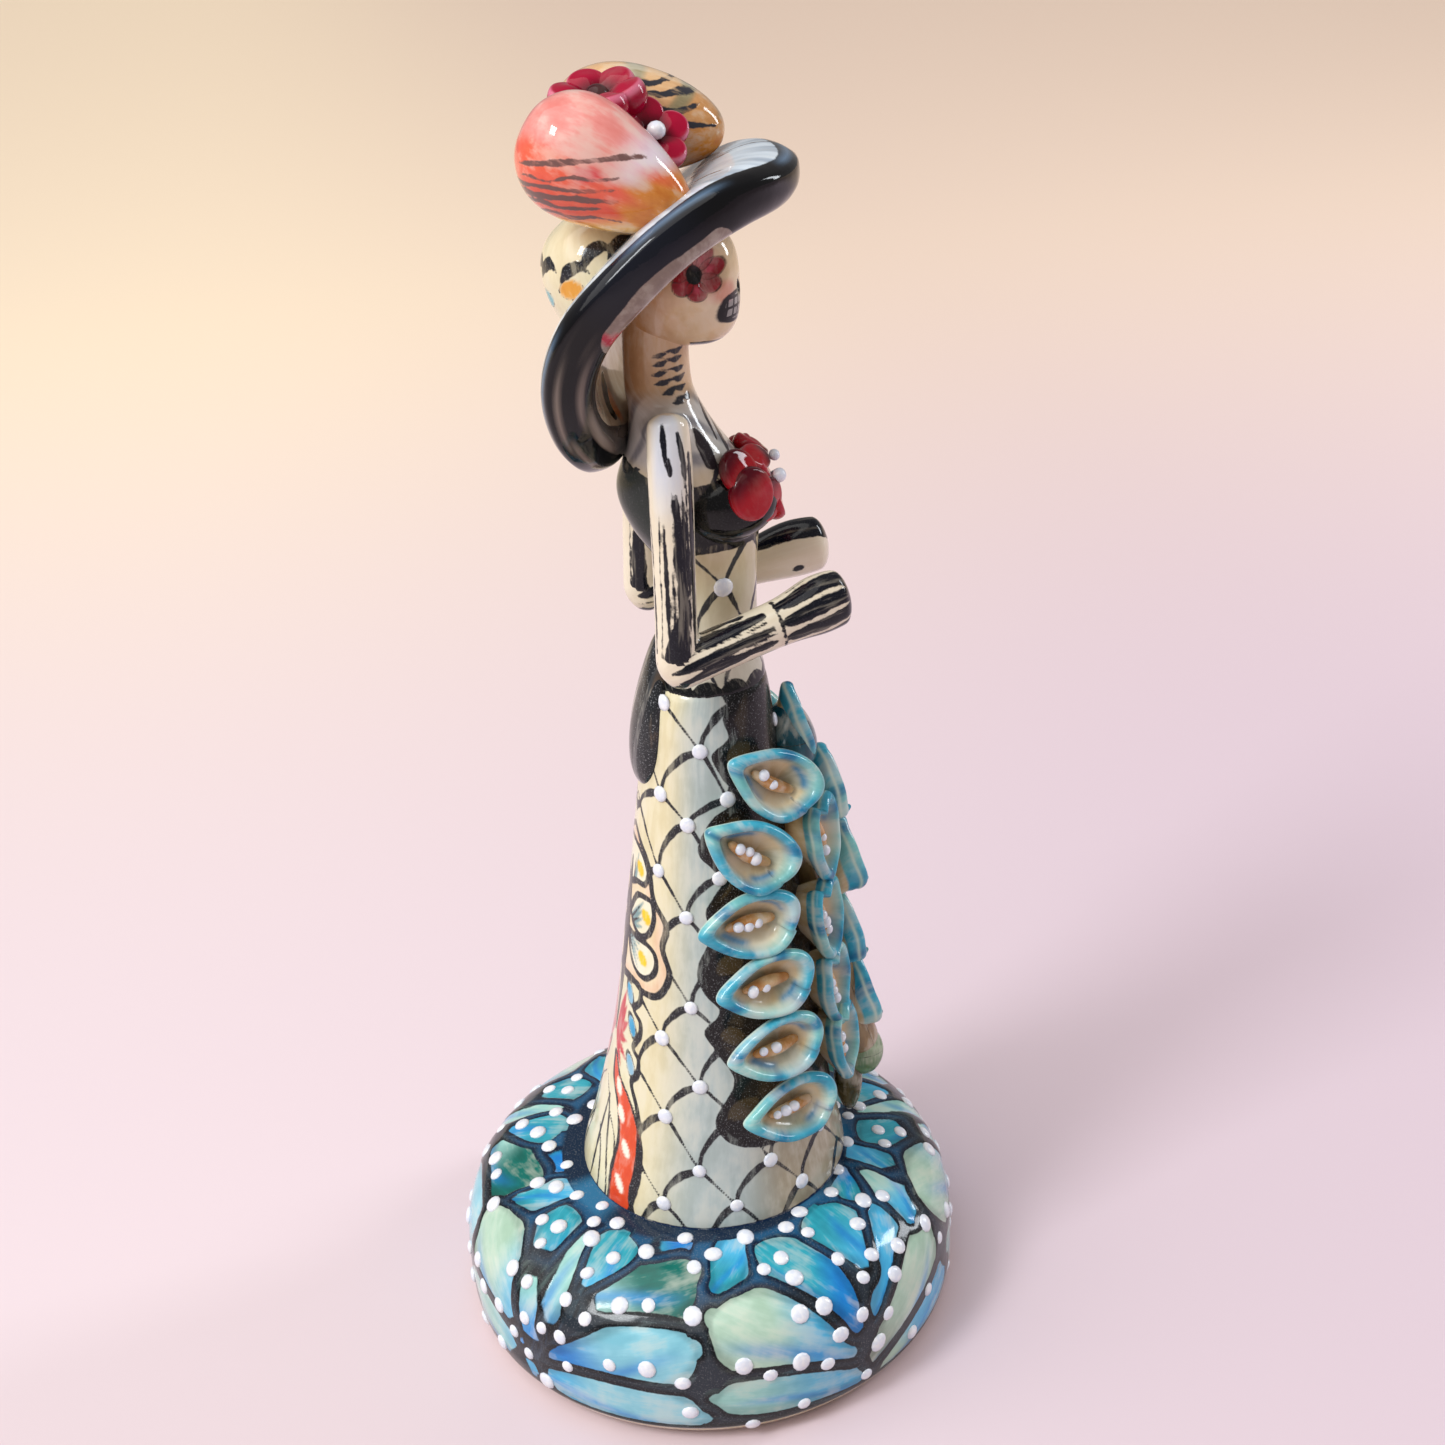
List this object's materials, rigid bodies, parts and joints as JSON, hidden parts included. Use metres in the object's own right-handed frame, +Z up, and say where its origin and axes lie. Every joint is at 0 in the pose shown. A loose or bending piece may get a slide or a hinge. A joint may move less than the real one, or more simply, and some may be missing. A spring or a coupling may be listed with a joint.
{
  "type": "day of the dead skeleton figure",
  "caption": "Standing glazed ceramic skeleton lady in a long painted skirt covered in calla lilies and a wide tilted hat with a bow, on a round domed base.",
  "frame": {"origin": "middle of the round base's flat underside", "axes": "+Z up, the figure faces -Y and her right hand is at -X"},
  "size_m": [0.125, 0.125, 0.306],
  "materials": {
    "painted_glaze": "hand-painted in cream, charcoal and black under a clear gloss glaze"
  },
  "bodies": {
    "root": {"skeleton_figure": "painted_glaze"}
  },
  "joints": []
}
